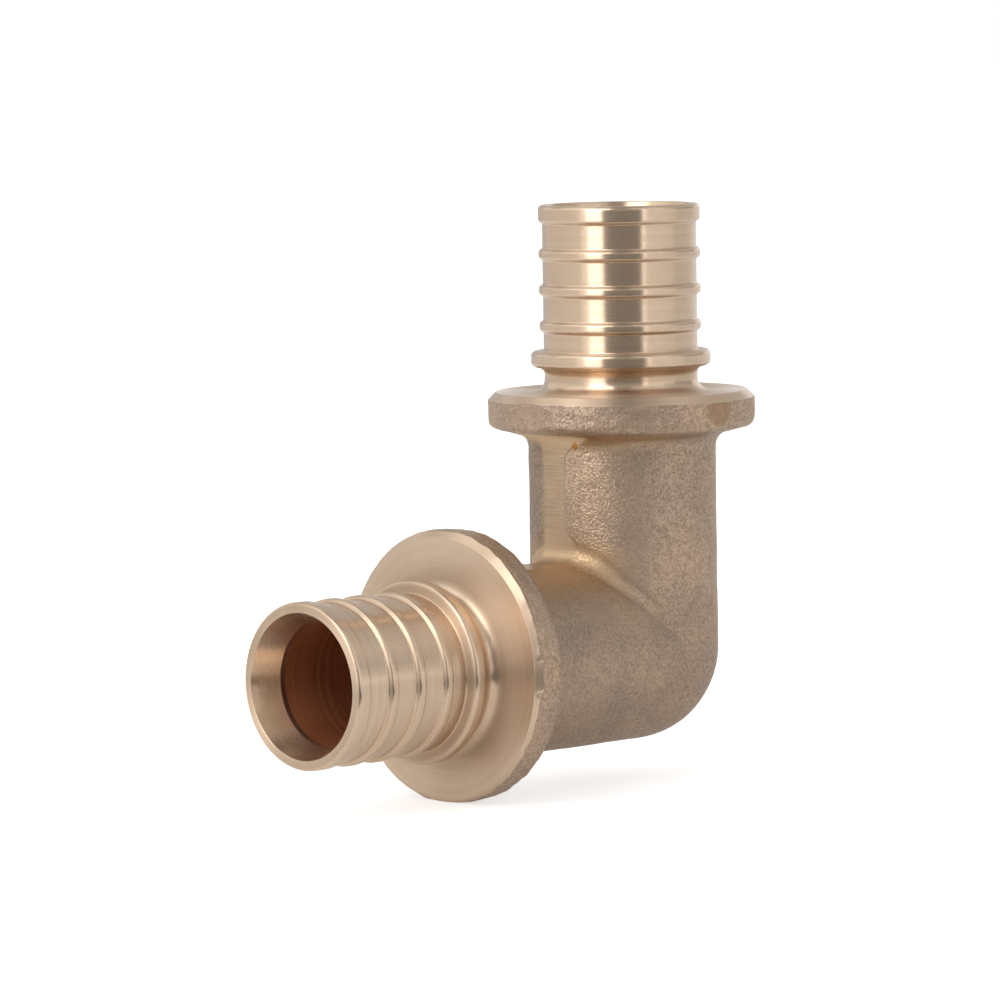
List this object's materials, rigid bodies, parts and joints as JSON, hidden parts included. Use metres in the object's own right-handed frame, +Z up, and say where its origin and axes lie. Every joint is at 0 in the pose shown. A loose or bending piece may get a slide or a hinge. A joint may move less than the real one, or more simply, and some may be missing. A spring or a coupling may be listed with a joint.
{
  "type": "pex sleeve elbow",
  "caption": "Right-angle brass pipe elbow: each end is a ribbed spigot with collar and flange, for plastic pipe held by a pushed-on sleeve.",
  "frame": {"origin": "where the axes of both bores cross", "axes": "+Z up along the upright leg towards its tip, -X along the side leg towards its tip, -Y towards the front; XZ is the plane of both bore axes"},
  "size_m": [0.0499, 0.0234, 0.0499],
  "materials": {
    "brass": "shot-blasted forging with turned spigots, flange faces and bores"
  },
  "bodies": {
    "root": {"elbow_body": "brass"}
  },
  "joints": []
}
